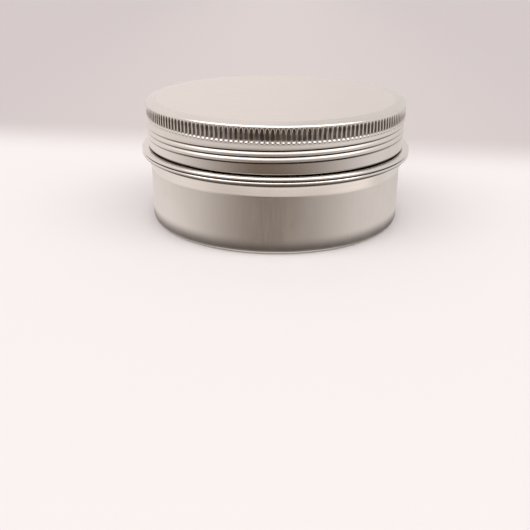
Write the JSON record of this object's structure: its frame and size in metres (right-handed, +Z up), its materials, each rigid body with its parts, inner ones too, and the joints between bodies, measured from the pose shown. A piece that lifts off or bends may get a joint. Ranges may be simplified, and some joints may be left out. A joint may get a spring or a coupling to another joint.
{
  "type": "screw-top candle tin",
  "caption": "Low round aluminium tin with a knurled screw lid, a rolled thread and a foam liner, sold empty for candles, soap and balms.",
  "frame": {"origin": "middle of the base, on the surface that the tin stands on", "axes": "+Z up through the lid, which is also the screw's axis; -Y is the front"},
  "size_m": [0.0868, 0.0868, 0.0391],
  "materials": {
    "can_aluminium": "bright drawn sheet, faint upright draw lines on the wall",
    "lid_aluminium": "satin sheet, very fine matt grain on the top, bright on the rolled thread and ribs",
    "liner_foam": "fine-celled white polyethylene foam"
  },
  "bodies": {
    "tin": {"tin_body": "can_aluminium"},
    "liner": {"lid_liner": "liner_foam"},
    "lid": {"screw_lid": "lid_aluminium"}
  },
  "joints": [
    {"name": "lid_rise", "type": "slide", "parent": "tin", "child": "liner", "axis": [0, 0, 1], "range_m": [0, 0.0171]},
    {"name": "lid_turn", "type": "hinge", "parent": "liner", "child": "lid", "pos_m": [0, 0, 0], "axis": [0, 0, 1], "range_deg": [0, 1800]}
  ],
  "couplings": [
    {"joint": "lid_rise", "follows": "lid_turn", "m_per_rad": 0.00054113}
  ]
}
